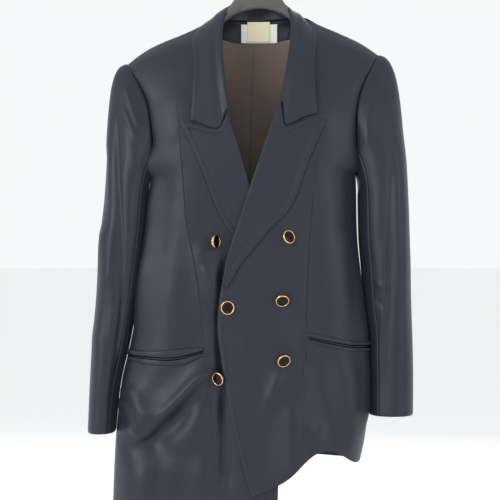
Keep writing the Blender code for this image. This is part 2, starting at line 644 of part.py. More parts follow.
def build_lapel(name, roll, edge, top, tree, outward):
    rows, columns = LAPEL_GRID
    shares = np.linspace(0, 1, rows)
    across = np.linspace(0, 1, columns)
    roll_line = along(roll, shares)
    edge_line = along(edge, shares)
    flat = roll_line[:, None] + (edge_line - roll_line)[:, None] * across[None, :, None]
    top_line = along([roll[0]] + top + [edge[0]], across)
    shift = top_line - flat[0]
    for row in range(5):
        flat[row] += shift * (1 - row / 5) ** 2
    lift = CLOTH + LAY + 1.6 * (1 - across) ** 2
    face = lay_on(tree, flat, lift[None, :])
    face[:, :, 1] = relaxed(face[:, :, 1])
    normals = normals_of(face, outward)
    add_wall(name, face, normals, CLOTH, SATIN)


def relaxed(depth):
    """Depths never behind the given ones, eased along the rows."""
    eased = depth.copy()
    eased[1:-1] = np.minimum(depth[1:-1], (depth[:-2] + depth[2:]) / 2)
    return eased


def build_jets(trees):
    for name, strips in JETS.items():
        tree = trees["front_under" if "left" in name else "front_over"]
        table = np.array(strips, float)
        x = np.linspace(table[0, 0], table[-1, 0], 13)
        edges = monotone(table[:, 0], table[:, 1:], x)
        flat = np.empty((3, len(x), 2))
        for row, share in enumerate((0, 0.5, 1)):
            flat[row, :, 0] = x
            flat[row, :, 1] = edges[:, 1] + (edges[:, 0] - edges[:, 1]) * share
        crown = JET_THICK + LAY + np.array((0.3, 0.7, 0.3))
        side_x = LEFT_SIDE[3][0] if "left" in name else RIGHT_SIDE[3][0]
        round_side = 1.2 * (1 - smooth(0.4 * TURN, 0.8 * TURN, abs(x - side_x)))
        face = lay_on(tree, flat, crown[:, None] + round_side[None, :])
        normals = normals_of(face, 1)
        add_wall(name, face, normals, JET_THICK, SATIN)


def build_buttons(trees):
    """Domed buttons turned about their middle axis, each just clear of its panel."""
    half = BUTTON_THICK / 2
    outline = [(0.0, half - 0.5), (BUTTON_RADIUS - RIM - 1.6, half - 1.1),
               (BUTTON_RADIUS - RIM, half - 1.5), (BUTTON_RADIUS - RIM + 0.6, half - 0.2),
               (BUTTON_RADIUS - 0.8, half), (BUTTON_RADIUS, half - 1.2),
               (BUTTON_RADIUS - 0.9, 0.6 - half), (BUTTON_RADIUS - 3.4, -half), (0.0, -half)]
    for name, button in BUTTONS.items():
        model = bmesh.new()
        rings = []
        for radius, height in outline:
            if radius == 0:
                rings.append([model.verts.new((0, 0, height))])
                continue
            turns = [2 * math.pi * side / BUTTON_SIDES for side in range(BUTTON_SIDES)]
            rings.append([model.verts.new((radius * math.cos(turn), radius * math.sin(turn), height))
                          for turn in turns])
        for upper, lower in zip(rings, rings[1:]):
            for side in range(BUTTON_SIDES):
                after = (side + 1) % BUTTON_SIDES
                corners = [upper[side % len(upper)], upper[after % len(upper)],
                           lower[after % len(lower)], lower[side % len(lower)]]
                model.faces.new(list(dict.fromkeys(corners)))
        facing = Matrix.Rotation(math.pi / 2, 4, "X")
        turned = (Matrix.Rotation(math.radians(button.turn), 4, "Z")
                  @ Matrix.Rotation(math.radians(button.nod), 4, "X") @ facing)
        model.transform(turned)
        tree = trees[button.panel]
        room = min(front_place(tree, button.x + vert.co.x, button.z + vert.co.z)[0].y - vert.co.y
                   for vert in model.verts)
        model.transform(Matrix.Translation((button.x, room - LAY, button.z)))
        model.transform(Matrix.Scale(MM, 4))
        mesh = bpy.data.meshes.new(name)
        model.to_mesh(mesh)
        model.free()
        add_object(name, mesh, GOLD)


def build_inside(faces):
    """Neck facing and lining on the inside of the back, and the labels on the facing."""
    first = BACK_ROWS[0] + BACK_ROWS[1] - 2
    inner = {}
    for name in ("back_left", "back_right"):
        face, normals, _ = faces[name]
        inner[name] = (face - normals * (CLOTH + LAY), normals)
    left, left_normals = inner["back_left"]
    right, right_normals = inner["back_right"]
    facing = np.concatenate([left[first:, -4:], right[first:, -2:-5:-1]], axis=1)
    normals = np.concatenate([left_normals[first:, -4:], right_normals[first:, -2:-5:-1]], axis=1)
    facing[0, :, 2] += SEAM
    facing[-1, :, 2] -= 2.6
    add_wall("neck_facing", facing, normals, LINING, SATIN)
    tree = surface_tree(facing - normals * LINING)

    from_x, to_x, low, high = NECK_LABEL
    x, z = (grid.ravel() for grid in np.meshgrid(np.linspace(from_x, to_x, 9),
                                                 np.linspace(low + 4, FACING_TOP, 5)))
    depth = np.array([front_place(tree, *place)[0].y for place in zip(x, z)])
    powers = np.stack([np.ones(x.size), x, x ** 2, z], axis=1)
    bow = np.linalg.lstsq(powers, depth, rcond=None)[0]
    bow[0] += (depth - powers @ bow).min() - SEAM
    for name, (from_x, to_x, low, high), lift, finish in (
            ("neck_label", NECK_LABEL, LABEL_THICK, WHITE),
            ("size_label", SIZE_LABEL, 2 * LABEL_THICK + LAY, CREAM)):
        x, z = np.meshgrid(np.linspace(from_x, to_x, 7), np.linspace(low, high, 3))
        y = bow[0] + bow[1] * x + bow[2] * x ** 2 + bow[3] * z - lift
        rightward = (x - from_x) / (to_x - from_x)
        upright = (2 * z - low - high) / (high - low)
        y = y - LABEL_CURL * rightward * upright ** 2
        label = np.stack([x, y, z], axis=-1)
        add_wall(name, label, normals_of(label, 1), LABEL_THICK, finish)

    for side in ("left", "right"):
        back, normals = inner["back_" + side]
        lining = back[1:first + 1, 3:].copy()
        lining[-1, :, 2] -= SEAM
        lining[:, -1, 0] += SEAM / 2 * (1 if side == "right" else -1)
        add_wall("lining_" + side, lining, normals[1:first + 1, 3:], LINING, TAUPE)


def below_cloth(cloth, section):
    """Whether a section of the hanger clears the inner faces of the shoulders."""
    for point in section:
        for tree, outward in cloth:
            near, normal, _, distance = tree.find_nearest(point)
            if distance < 30 and (point - near).dot(normal * outward) > -LAY:
                return False
    return True


def build_hanger(faces):
    """A moulded bar with rounded sections, highest at its middle, seated under the shoulders."""
    cloth = [(surface_tree(face - normals * CLOTH), outward)
             for face, normals, outward in faces.values()]
    table = np.array(HANGER, float)
    places = np.linspace(table[0, 0], table[-1, 0], HANGER_PLACES)
    values = monotone(table[:, 0], table[:, 1:], places)
    turns = 2 * math.pi * (np.arange(HANGER_SIDES) + 0.5) / HANGER_SIDES
    power = 2 / HANGER_CORNER
    model = bmesh.new()
    rings = []
    for x, (top, bottom, depth) in zip(places, values):
        section = []
        for turn in turns:
            across = math.copysign(abs(math.sin(turn)) ** power, math.sin(turn))
            upright = math.copysign(abs(math.cos(turn)) ** power, math.cos(turn))
            section.append(Vector((x, HANGER_MIDDLE + across * depth / 2,
                                   (top + bottom) / 2 + upright * (top - bottom) / 2)))
        while abs(x) > SEAT_FROM and not below_cloth(cloth, section):
            section = [point - Vector((0, 0, SEAT_STEP)) for point in section]
        rings.append([model.verts.new(point) for point in section])
    for before, after in zip(rings, rings[1:]):
        for side in range(HANGER_SIDES):
            following = (side + 1) % HANGER_SIDES
            model.faces.new((before[side], before[following], after[following], after[side]))
    model.faces.new(rings[0])
    model.faces.new(rings[-1])
    model.transform(Matrix.Scale(MM, 4))
    mesh = bpy.data.meshes.new("hanger_body")
    model.to_mesh(mesh)
    model.free()
    add_object("hanger_body", mesh, GREY_PLASTIC)


def build_hook():
    """A wire hook: up from the hanger, out to one side and round over the rail's place."""
    radius = HOOK_RADIUS + WIRE / 2
    centre = -HOOK_RADIUS
    route = [(0, HOOK_FOOT), (0, HOOK_FOOT + 5), (0.6, HOOK_FOOT + 9), (3.6, HOOK_FOOT + 12.5)]
    for step in range(22):
        angle = math.radians(-52 + step * 236 / 21)
        route.append((radius * math.cos(angle), centre + radius * math.sin(angle)))
    curve = bpy.data.curves.new("hanger_hook", "CURVE")
    curve.dimensions = "3D"
    curve.bevel_depth = WIRE / 2 * MM
    curve.bevel_resolution = 2
    curve.use_fill_caps = True
    spline = curve.splines.new("POLY")
    spline.points.add(len(route) - 1)
    for point, (x, z) in zip(spline.points, route):
        point.co = (x * MM, 0, z * MM, 1)
    curve.materials.append(finish_material("hanger_hook", STEEL))
    piece = bpy.data.objects.new("hanger_hook", curve)
    bpy.context.scene.collection.objects.link(piece)


def main():
    for leftover in list(bpy.data.objects):
        bpy.data.objects.remove(leftover)
    faces = build_body()
    trees = {name: surface_tree(face) for name, (face, _, _) in faces.items()}
    build_sleeve("left", LEFT_SIDE, LEFT_ARMHOLE_FRONT, LEFT_ARMHOLE_BACK, LEFT_SLEEVE,
                 LEFT_SLEEVE_FOLDS)
    build_sleeve("right", RIGHT_SIDE, RIGHT_ARMHOLE_FRONT, RIGHT_ARMHOLE_BACK, RIGHT_SLEEVE,
                 RIGHT_SLEEVE_FOLDS)
    build_lapel("lapel_under", UNDER_ROLL, UNDER_LAPEL_EDGE, UNDER_LAPEL_TOP,
                trees["front_under"], -1)
    build_lapel("lapel_over", OVER_ROLL, OVER_LAPEL_EDGE, OVER_LAPEL_TOP,
                trees["front_over"], 1)
    build_collar(faces)
    build_jets(trees)
    build_buttons(trees)
    build_inside(faces)
    build_hanger(faces)
    build_hook()


main()
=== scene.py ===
import json
import math

import bmesh
import bpy
import numpy as np
from mathutils import Matrix, Vector
from mathutils.bvhtree import BVHTree

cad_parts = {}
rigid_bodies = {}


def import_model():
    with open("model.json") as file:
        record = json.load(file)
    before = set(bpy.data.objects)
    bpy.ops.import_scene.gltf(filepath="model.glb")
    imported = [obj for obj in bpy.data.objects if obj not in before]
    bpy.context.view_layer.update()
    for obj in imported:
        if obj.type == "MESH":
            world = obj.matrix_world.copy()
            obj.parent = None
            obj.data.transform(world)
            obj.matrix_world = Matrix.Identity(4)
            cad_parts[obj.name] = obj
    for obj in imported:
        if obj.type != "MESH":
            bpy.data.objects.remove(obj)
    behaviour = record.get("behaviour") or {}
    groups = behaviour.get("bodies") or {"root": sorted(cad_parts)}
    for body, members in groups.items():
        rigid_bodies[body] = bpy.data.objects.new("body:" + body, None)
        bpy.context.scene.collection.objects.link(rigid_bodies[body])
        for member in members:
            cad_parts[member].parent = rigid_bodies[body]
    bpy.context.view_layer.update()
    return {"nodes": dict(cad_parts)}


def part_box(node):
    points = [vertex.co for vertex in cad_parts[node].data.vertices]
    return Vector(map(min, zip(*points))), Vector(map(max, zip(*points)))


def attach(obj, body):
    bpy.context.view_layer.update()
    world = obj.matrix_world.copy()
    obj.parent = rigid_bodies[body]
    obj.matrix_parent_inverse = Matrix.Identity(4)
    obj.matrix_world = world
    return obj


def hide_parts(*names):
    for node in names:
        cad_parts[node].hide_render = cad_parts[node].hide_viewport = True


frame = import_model()
mm = 0.001      # lengths below are millimetres, in the frame's axes, unless a line says otherwise


def selectNothing():
    for item in bpy.context.view_layer.objects:
        item.select_set(False)


# Camera, floor and light

view = {"place": (-0.016, -2.48, -0.518), "lens": 101.6, "sensor": 36.0}   # metres, then mm
floor = {"height": -1.32, "reach": 60.0, "colour": (0.92, 0.92, 0.92)}     # metres
lamps = {
    "windowLight": {"place": (-2.3, -2.5, 0.55), "aim": (0, 0, -0.55), "size": 2.0, "power": 62,
                    "colour": (0.95, 0.97, 1.0)},
    "roomLight": {"place": (2.4, -2.4, 0.1), "aim": (0, 0, -0.5), "size": 2.0, "power": 22,
                  "colour": (1.0, 0.97, 0.94)},
    "backLight": {"place": (0.6, 2.6, 0.9), "aim": (0, 0, -0.5), "size": 2.2, "power": 36,
                  "colour": (1.0, 1.0, 1.0)},
}
sky = {"colour": (0.98, 0.99, 1.0), "strength": 0.95}

cameraData = bpy.data.cameras.new("camera")
cameraData.sensor_width = view["sensor"]
cameraData.lens = view["lens"]
camera = bpy.data.objects.new("camera", cameraData)
camera.location = view["place"]
camera.rotation_euler = (math.pi / 2, 0, 0)
bpy.context.scene.collection.objects.link(camera)
bpy.context.scene.camera = camera

for name, lamp in lamps.items():
    lampData = bpy.data.lights.new(name, "AREA")
    lampData.shape = "DISK"
    lampData.size = lamp["size"]
    lampData.energy = lamp["power"]
    lampData.color = lamp["colour"]
    light = bpy.data.objects.new(name, lampData)
    light.location = lamp["place"]
    aim = Vector(lamp["aim"]) - Vector(lamp["place"])
    light.rotation_euler = aim.to_track_quat("-Z", "Y").to_euler()
    bpy.context.scene.collection.objects.link(light)

world = bpy.data.worlds.new("paleRoom")
world.use_nodes = True
world.node_tree.nodes["Background"].inputs["Color"].default_value = (*sky["colour"], 1)
world.node_tree.nodes["Background"].inputs["Strength"].default_value = sky["strength"]
bpy.context.scene.world = world
bpy.context.scene.view_settings.view_transform = "Standard"

selectNothing()
bpy.ops.mesh.primitive_circle_add(vertices=96, radius=floor["reach"], fill_type="NGON",
                                  location=(0, 0, floor["height"]))
ground = bpy.context.object
ground.name = "paleFloor"
groundFinish = bpy.data.materials.new("paleFloor")
groundFinish.use_nodes = True
groundFinish.node_tree.nodes["Principled BSDF"].inputs["Base Color"].default_value = (
    *floor["colour"], 1)
groundFinish.node_tree.nodes["Principled BSDF"].inputs["Roughness"].default_value = 0.8
ground.data.materials.append(groundFinish)
print("camera, floor and light are in place")


# Finishes

class Tone:
    # one output of a shader node, so that sums of tones read as sums
    def __init__(self, tree, socket=None):
        self.tree = tree
        self.socket = socket

    def make(self, kind, settings=None, values=None, out=0):
        node = self.tree.nodes.new(kind)
        for name, value in (settings or {}).items():
            if name == "stops":
                ramp = node.color_ramp.elements
                while len(ramp) < len(value):
                    ramp.new(0.5)
                for element, (place, colour) in zip(ramp, value):
                    element.position = place
                    element.color = colour
            else:
                setattr(node, name, value)
        for name, value in (values or {}).items():
            if isinstance(value, Tone):
                self.tree.links.new(value.socket, node.inputs[name])
            else:
                node.inputs[name].default_value = value
        return Tone(self.tree, node.outputs[out])

    def maths(self, operation, first, second=0.0):
        return self.make("ShaderNodeMath", {"operation": operation}, {0: first, 1: second})

    def __add__(self, other):
        return self.maths("ADD", self, other)

    def __radd__(self, other):
        return self.maths("ADD", other, self)

    def __sub__(self, other):
        return self.maths("SUBTRACT", self, other)

    def __rsub__(self, other):
        return self.maths("SUBTRACT", other, self)

    def __mul__(self, other):
        return self.maths("MULTIPLY", self, other)

    def __rmul__(self, other):
        return self.maths("MULTIPLY", other, self)

    def __neg__(self):
        return self.maths("MULTIPLY", self, -1.0)

    def bell(self, width):
        # 1 where the tone is 0, falling to 0 over the width to either side
        spread = self.maths("MULTIPLY", self, 1 / width)
        return self.maths("EXPONENT", -(spread * spread))

    def wave(self, length):
        return self.maths("SINE", self * (2 * math.pi / length))

    def over(self, level):
        return self.maths("GREATER_THAN", self, level)

    def blend(self, first, second):
        # a colour between two, by this tone
        return self.make("ShaderNodeMix", {"data_type": "RGBA"}, {0: self, 6: first, 7: second}, 2)


def newFinish(name, roughness=0.5, metallic=0.0, fixed=None):
    # a material with its shader, and a starting tone for building on
    material = bpy.data.materials.new(name)
    material.use_nodes = True
    shader = material.node_tree.nodes["Principled BSDF"]
    shader.inputs["Roughness"].default_value = roughness
    shader.inputs["Metallic"].default_value = metallic
    for socket, value in (fixed or {}).items():
        shader.inputs[socket].default_value = value
    return material, shader, Tone(material.node_tree)


def feed(tone, shader, socket):
    tone.tree.links.new(tone.socket, shader.inputs[socket])


def noiseOf(start, vector, scale, detail=2.0, rough=0.5, stretch=None):
    if stretch:
        vector = start.make("ShaderNodeMapping", None, {"Vector": vector, "Scale": stretch})
    return start.make("ShaderNodeTexNoise", None,
                      {"Vector": vector, "Scale": scale, "Detail": detail, "Roughness": rough})


satin = {
    "navy": {"colour": (0.0050, 0.0088, 0.0190), "pale": (0.0160, 0.0175, 0.0290),
             "roughness": 0.47, "spread": 0.16, "sheen": 0.10, "tint": (0.62, 0.74, 1.0, 1)},
    "taupe": {"colour": (0.130, 0.088, 0.068), "pale": (0.165, 0.115, 0.090),
              "roughness": 0.46, "spread": 0.10, "sheen": 0.25, "tint": (0.9, 0.8, 0.72, 1)},
}
slitShadowHalf = 1.5      # width of the painted slit shadow: a black band along each pocket jet's edge beside the slit
stitching = {"inset": 8.0, "second": 10.2, "length": 3.2, "share": 0.72, "groove": 0.55}


def satinFinish(name, kind, stitched=False, twice=False, dart=False, slit=False):
    look = satin[kind]
    material, shader, start = newFinish(name, look["roughness"], 0.0, {
        "Sheen Weight": look["sheen"], "Sheen Roughness": 0.42, "Sheen Tint": look["tint"],
        "Specular IOR Level": 0.34})
    place = start.make("ShaderNodeTexCoord", out="Object")
    cloth = start.make("ShaderNodeUVMap", {"uv_map": "cloth"})
    floats = noiseOf(start, cloth, 1.0, 2.0, 0.6, (900, 3600, 1))     # long floats over short ones
    bars = noiseOf(start, cloth, 1.0, 3.0, 0.55, (70, 14, 1))         # faint bars along the weft
    soft = noiseOf(start, place, 9.0, 3.0, 0.5)
    crinkle = noiseOf(start, place, 42.0, 4.0, 0.55, (1, 1, 0.55))
    grain = noiseOf(start, cloth, 1.0, 4.0, 0.6, (190, 70, 1))        # slight unevenness
    shade = soft * 0.65 + bars * 0.35
    colour = shade.blend((*look["colour"], 1), (*look["pale"], 1))
    height = floats * 0.00003 + grain * 0.00014 + crinkle * 0.00022 + soft * 0.0006
    rough = look["roughness"] - look["spread"] / 2 + look["spread"] * bars
    if stitched:
        edge = start.make("ShaderNodeAttribute", {"attribute_name": "edge"}, out="Fac")
        run = start.make("ShaderNodeAttribute", {"attribute_name": "run"}, out="Fac")
        rows = (stitching["inset"], stitching["second"]) if twice else (stitching["inset"],)
        step = run.maths("FRACT", run * (1 / stitching["length"]))
        dash = step.maths("LESS_THAN", step, stitching["share"])
        for inset in rows:
            line = (edge - inset).bell(stitching["groove"])
            height = height - line * 0.0006 + line * dash * 0.00030
        wander = noiseOf(start, place, 60.0, 2.0)
        pucker = (run + wander * 9.0).wave(8.5) * (edge - stitching["inset"]).bell(7.0)
        height = height + pucker * 0.00006
        # painted shade: a near-black line along the stitching groove, darker than the navy thread,
        # as shade in the recess
        line = (edge - stitching["inset"]).bell(stitching["groove"] * 1.3)
        colour = (line * 0.6).blend(colour, (0.002, 0.003, 0.006, 1))
    if dart:
        fold = start.make("ShaderNodeAttribute", {"attribute_name": "dart"}, out="Fac")
        height = height - fold.bell(0.9) * 0.0012 + fold.bell(7.0) * 0.0008
        # painted shade: the dart's crease is darkened towards black, as shade in the seam
        colour = (fold.bell(0.8) * 0.8).blend(colour, (0.002, 0.003, 0.006, 1))
    bump = start.make("ShaderNodeBump", None, {"Height": height, "Distance": 1.0, "Strength": 1.0})
    feed(colour, shader, "Base Color")
    feed(rough, shader, "Roughness")
    feed(bump, shader, "Normal")
    if slit:
        # painted shadow: a black, unlit shader is mixed in along the slit edge of each jet,
        # standing in for the shade inside the pocket mouth
        edge = start.make("ShaderNodeAttribute", {"attribute_name": "edge"}, out="Fac")
        dark = start.make("ShaderNodeBsdfPrincipled", None, {
            "Base Color": (0.001, 0.001, 0.002, 1), "Roughness": 1.0, "Specular IOR Level": 0.0})
        mixed = start.make("ShaderNodeMixShader", None, {
            0: 1.0 - edge.over(slitShadowHalf), 1: Tone(start.tree, shader.outputs[0]), 2: dark})
        output = material.node_tree.nodes["Material Output"]
        start.tree.links.new(mixed.socket, output.inputs["Surface"])
    return material


# Cloth: each piece is a finer wall on the form of its solid

cloth = {"cell": 5.0, "border": (0, 0.6, 1.4, 2.6, 4.4), "merge": 0.01, "match": 0.004,
         "reach": 0.35, "dip": 0.9, "roundness": 1.6}


def gridOf(verts, first, second):
    # points of one face of a wall in rows, the first row from corner to corner
    corners = {vert for vert in verts if vert.is_boundary and len(vert.link_edges) < 4}
    start = min(corners, key=lambda vert: (vert.co / mm - Vector(first)).length)

    def sideFrom(edge):
        path = [start, edge.other_vert(start)]
        while path[-1] not in corners:
            ahead = [step.other_vert(path[-1]) for step in path[-1].link_edges if step.is_boundary]
            path.append(ahead[0] if ahead[1] is path[-2] else ahead[1])
        return path

    sides = [sideFrom(edge) for edge in start.link_edges if edge.is_boundary]
    sides.sort(key=lambda side: (side[-1].co / mm - Vector(second)).length)
    rows = [sides[0]]
    used = set(sides[0]) | set(sides[1])
    for left in sides[1][1:]:
        row = [left]
        for below in rows[-1][1:]:
            near = {edge.other_vert(row[-1]) for edge in row[-1].link_edges}
            shared = near & {edge.other_vert(below) for edge in below.link_edges} - used
            row.append(shared.pop())
            used.add(row[-1])
        rows.append(row)
    return np.array([[vert.co / mm for vert in row] for row in rows])


def wallOf(node, thick, first, second, facing):
    # the face that shows and the one behind it
    model = bmesh.new()
    model.from_mesh(frame["nodes"][node].data)
    bmesh.ops.remove_doubles(model, verts=model.verts, dist=cloth["merge"] * mm)
    rim = {face for edge in model.edges
           if abs(edge.calc_length() / mm - thick) < cloth["match"] for face in edge.link_faces}
    bmesh.ops.delete(model, geom=list(rim), context="FACES")
    unseen = set(model.verts)
    shells = []
    while unseen:
        shell = {unseen.pop()}
        edge = list(shell)
        while edge:
            vert = edge.pop()
            for step in vert.link_edges:
                other = step.other_vert(vert)
                if other in unseen:
                    unseen.remove(other)
                    shell.add(other)
                    edge.append(other)
        faces = {face for vert in shell for face in vert.link_faces}
        outward = sum((face.normal * face.calc_area() for face in faces), Vector())
        shells.append((outward.dot(Vector(facing)), shell))
    shells.sort(key=lambda item: -item[0])
    grids = [gridOf(shell, first, second) for _, shell in shells]
    model.free()
    return grids


def eased(keys, values, at):
    # a smooth line through values, with its bend free at both ends
    count = len(keys)
    steps = np.diff(keys)
    flat = values.reshape(count, -1)
    slopes = np.diff(flat, axis=0) / steps[:, None]
    system = np.eye(count)
    change = np.zeros_like(flat)
    for index in range(1, count - 1):
        before, after = steps[index - 1:index + 1]
        system[index, index - 1:index + 2] = before, 2 * (before + after), after
        change[index] = 6 * (slopes[index] - slopes[index - 1])
    bend = np.linalg.solve(system, change)
    index = np.clip(np.searchsorted(keys, at, side="right") - 1, 0, count - 2)
    step = steps[index][:, None]
    low = (keys[index + 1] - at)[:, None] / step
    high = 1 - low
    result = (low * flat[index] + high * flat[index + 1]
              + ((low ** 3 - low) * bend[index] + (high ** 3 - high) * bend[index + 1])
              * step * step / 6)
    return result.reshape(len(at), *values.shape[1:])


def keysOf(grid):
    # mean length along the rows' own direction
    steps = np.linalg.norm(np.diff(grid, axis=0), axis=-1).mean(axis=1)
    return np.r_[0, np.cumsum(steps)]


def stationsOf(length, cell):
    border = np.array(cloth["border"])
    if length < 4 * border[-1]:
        return np.linspace(0, length, max(5, int(length / 1.2)))
    reach = border[-1] + 0.5 * cell
    middle = np.linspace(reach, length - reach, max(2, int((length - 2 * reach) / cell) + 1))
    return np.r_[border, middle, length - border[::-1]]


def finer(grids, cell):
    # the same surface with more rows and columns, closer together at its borders
    rowKeys = keysOf(grids[0])
    columnKeys = keysOf(grids[0].swapaxes(0, 1))
    rowPlaces = stationsOf(rowKeys[-1], cell)
    columnPlaces = stationsOf(columnKeys[-1], cell)
    result = []
    for grid in grids:
        rows = eased(rowKeys, grid, rowPlaces)
        result.append(eased(columnKeys, rows.swapaxes(0, 1), columnPlaces).swapaxes(0, 1))
    return result, rowPlaces, columnPlaces


def smooth(low, high, value):
    share = np.clip((value - low) / (high - low), 0, 1)
    return share * share * (3 - 2 * share)


def lineDistance(points, path, signed=False):
    # distance of each point from a path, and where along the path the nearest place is
    path = np.asarray(path, float)
    best = np.full(points.shape[:-1], 1e9)
    along = np.zeros(points.shape[:-1])
    side = np.ones(points.shape[:-1])
    done = 0.0
    for start, end in zip(path[:-1], path[1:]):
        line = end - start
        length = np.linalg.norm(line)
        share = np.clip((points - start) @ line / length ** 2, 0, 1)
        offset = points - (start + share[..., None] * line)
        distance = np.linalg.norm(offset, axis=-1)
        nearer = distance < best
        best = np.where(nearer, distance, best)
        along = np.where(nearer, done + share * length, along)
        if points.shape[-1] == 2:
            cross = line[0] * offset[..., 1] - line[1] * offset[..., 0]
            side = np.where(nearer, np.where(cross < 0, -1.0, 1.0), side)
        done += length
    return (best * side if signed else best), along / done, along


def lifted(points, creases):
    # how far the creases raise the cloth; each is path, width to either side, rise
    lift = np.zeros(points.shape[:-1])
    flat = points[..., [0, 2]]
    for path, left, right, rise in creases:
        signed, share, _ = lineDistance(flat, path, signed=True)
        width = np.where(signed < 0, left, right)
        ends = smooth(0, 0.22, share) * (1 - smooth(0.72, 1, share))
        lift += rise / np.cosh(np.clip(signed / width, -20, 20)) ** 2 * ends
    return lift


overhang = {"middle": -50, "width": 15, "aside": (150, 185), "foot": (-850, -780),
            "change": (-680, -560), "head": (-375, -330)}


def swung(points, swing):
    # the sides hang a little over the sleeves, in front of where the two come closest
    x, y, z = (points[..., axis] for axis in range(3))
    low, high = swing
    reach = low + (high - low) * smooth(*overhang["change"], z)
    share = (np.exp(-((y - overhang["middle"]) / overhang["width"]) ** 2)
             * smooth(*overhang["aside"], abs(x))
             * smooth(*overhang["foot"], z) * (1 - smooth(*overhang["head"], z)))
    return points + (np.sign(x) * reach * share)[..., None] * (1, 0, 0)


def ripple(points, length, height, seed):
    # slow uneven swells, longer downwards than across
    turn = np.random.default_rng(seed).uniform(0, 2 * math.pi, 6)
    x, y, z = (points[..., axis] / length for axis in range(3))
    return height * (np.sin(2.1 * x + 0.5 * z + turn[0]) + np.sin(3.7 * x - 0.9 * z + turn[1])
                     + 0.7 * np.sin(1.3 * z + 1.1 * x + turn[2])
                     + 0.5 * np.sin(5.3 * x + 1.7 * z + turn[3])
                     + 0.6 * np.sin(2.9 * y + 0.8 * z + turn[4])) / 3


def sheetMesh(name, outer, inner, rowPlaces, columnPlaces, marks):
    rows, columns = outer.shape[:2]
    count = rows * columns
    number = np.arange(count).reshape(rows, columns)
    quads = np.stack([number[:-1, :-1], number[:-1, 1:], number[1:, 1:], number[1:, :-1]],
                     axis=-1).reshape(-1, 4)
    rim = np.concatenate([number[0, :-1], number[:-1, -1], number[-1, :0:-1], number[:0:-1, 0]])
    after = np.roll(rim, -1)
    walls = np.stack([after, rim, rim + count, after + count], axis=-1)
    faces = np.concatenate([quads, quads[:, ::-1] + count, walls])
    middle = (rows // 2, columns // 2)
    ahead = outer[middle[0] + 1, middle[1]] - outer[middle]
    aside = outer[middle[0], middle[1] + 1] - outer[middle]
    if np.dot(np.cross(aside, ahead), outer[middle] - inner[middle]) < 0:
        faces = faces[:, ::-1]
    points = np.concatenate([outer.reshape(-1, 3), inner.reshape(-1, 3)]) * mm
    mesh = bpy.data.meshes.new(name)
    mesh.from_pydata(points.tolist(), [], faces.tolist())
    spots = np.stack(np.meshgrid(columnPlaces, rowPlaces), axis=-1).reshape(-1, 2) * mm
    spots = np.concatenate([spots, spots])
    uvMap = mesh.uv_layers.new(name="cloth")
    corners = np.empty(len(mesh.loops), int)
    mesh.loops.foreach_get("vertex_index", corners)
    uvMap.data.foreach_set("uv", spots[corners].astype(np.float32).ravel())
    for mark, values in marks.items():
        layer = mesh.attributes.new(mark, "FLOAT", "POINT")
        layer.data.foreach_set("value", np.tile(values.ravel(), 2).astype(np.float32))
    mesh.shade_smooth()
    return mesh


def addCloth(name, node, look, finish, creases=()):
    outer, inner = wallOf(node, look["thick"], look["first"], look["second"], look["facing"])
    for grid in (outer, inner):
        for _ in range(look.get("even", 0)):
            grid[1:-1] = (grid[:-2] + 2 * grid[1:-1] + grid[2:]) / 4
    (outer, inner), rowPlaces, columnPlaces = finer((outer, inner), look.get("cell", cloth["cell"]))
    away = outer - inner
    away /= np.linalg.norm(away, axis=-1, keepdims=True)
    lift = lifted(outer, creases) + look.get("raise", 0)
    if "ripple" in look:
        lift += ripple(outer, *look["ripple"])
    down = rowPlaces[:, None]
    across = columnPlaces[None, :]
    edges = {"low": down, "high": rowPlaces[-1] - down, "start": across,
             "end": columnPlaces[-1] - across}
    for edge, width in (look.get("calm") or {}).items():
        lift = lift * smooth(0, width, np.broadcast_to(edges[edge], lift.shape))
    nearest = np.minimum.reduce([np.broadcast_to(edge, lift.shape) for edge in edges.values()])
    dip = look.get("dip", cloth["dip"]) * np.exp(-(nearest / cloth["roundness"]) ** 2)
    outer = outer + away * (lift - dip)[..., None]
    inner = inner + away * (lift + 0.2 * dip)[..., None]
    if "swing" in look:
        outer, inner = swung(outer, look["swing"]), swung(inner, look["swing"])
    for face in (outer, inner):     # each border runs on a little, which closes the seams
        for rim, inward in ((face[0], face[1]), (face[-1], face[-2]), (face[:, 0], face[:, 1]),
                            (face[:, -1], face[:, -2])):
            step = rim - inward
            rim += step / np.linalg.norm(step, axis=-1, keepdims=True) * cloth["reach"]
    marks = {}
    if "stitch" in look:
        paths = {"low": outer[0], "high": outer[-1], "start": outer[:, 0], "end": outer[:, -1]}
        edge = np.full(lift.shape, 1e9)
        run = np.zeros(lift.shape)
        for border in look["stitch"]:
            distance, _, along = lineDistance(outer, paths[border])
            run = np.where(distance < edge, along, run)
            edge = np.minimum(edge, distance)
        marks = {"edge": edge, "run": run}
    if "dart" in look:
        marks["dart"] = lineDistance(outer[..., [0, 2]], look["dart"], signed=True)[0]
    mesh = sheetMesh(name, outer, inner, rowPlaces, columnPlaces, marks)
    mesh.materials.append(finish)
    piece = bpy.data.objects.new(name, mesh)
    bpy.context.scene.collection.objects.link(piece)
    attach(piece, "root")
    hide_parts(node)
    return outer


navy = satinFinish("navySatin", "navy")
navyEdged = satinFinish("navySatinEdged", "navy", stitched=True)
navyTwice = satinFinish("navySatinTwiceStitched", "navy", stitched=True, twice=True)
navyFront = satinFinish("navySatinFront", "navy", stitched=True, dart=True)
taupe = satinFinish("taupeLining", "taupe")
# the jets' finish paints the pocket slit's shadow black along the edge beside the slit
jetSatin = satinFinish("navySatinJetPaintedSlitShadow", "navy", slit=True)

# Fronts: creases are path, width to its left and right, rise. Paths are x, z in the front view

